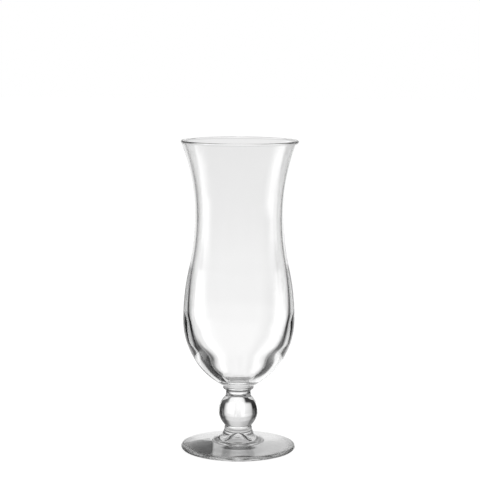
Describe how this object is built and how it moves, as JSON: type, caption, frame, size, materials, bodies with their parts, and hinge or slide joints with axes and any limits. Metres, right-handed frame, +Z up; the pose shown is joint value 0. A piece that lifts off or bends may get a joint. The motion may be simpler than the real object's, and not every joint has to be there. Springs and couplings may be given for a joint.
{
  "type": "hurricane glass",
  "caption": "Footed hurricane cocktail glass: a clear bowl with a flared rim and a narrow waist, a thin wafer, a ball stem and a round foot.",
  "frame": {"origin": "on the table, under the middle of the foot", "axes": "+Z up along the glass's axis, towards the rim; X and Y are alike because every piece is revolved"},
  "size_m": [0.0774, 0.0774, 0.206],
  "materials": {
    "clear_glass": "clear, colourless, fire-polished soda-lime glass, dulled only where the foot rests"
  },
  "bodies": {
    "root": {"foot": "clear_glass", "ball_stem": "clear_glass", "wafer": "clear_glass", "bowl": "clear_glass"}
  },
  "joints": []
}
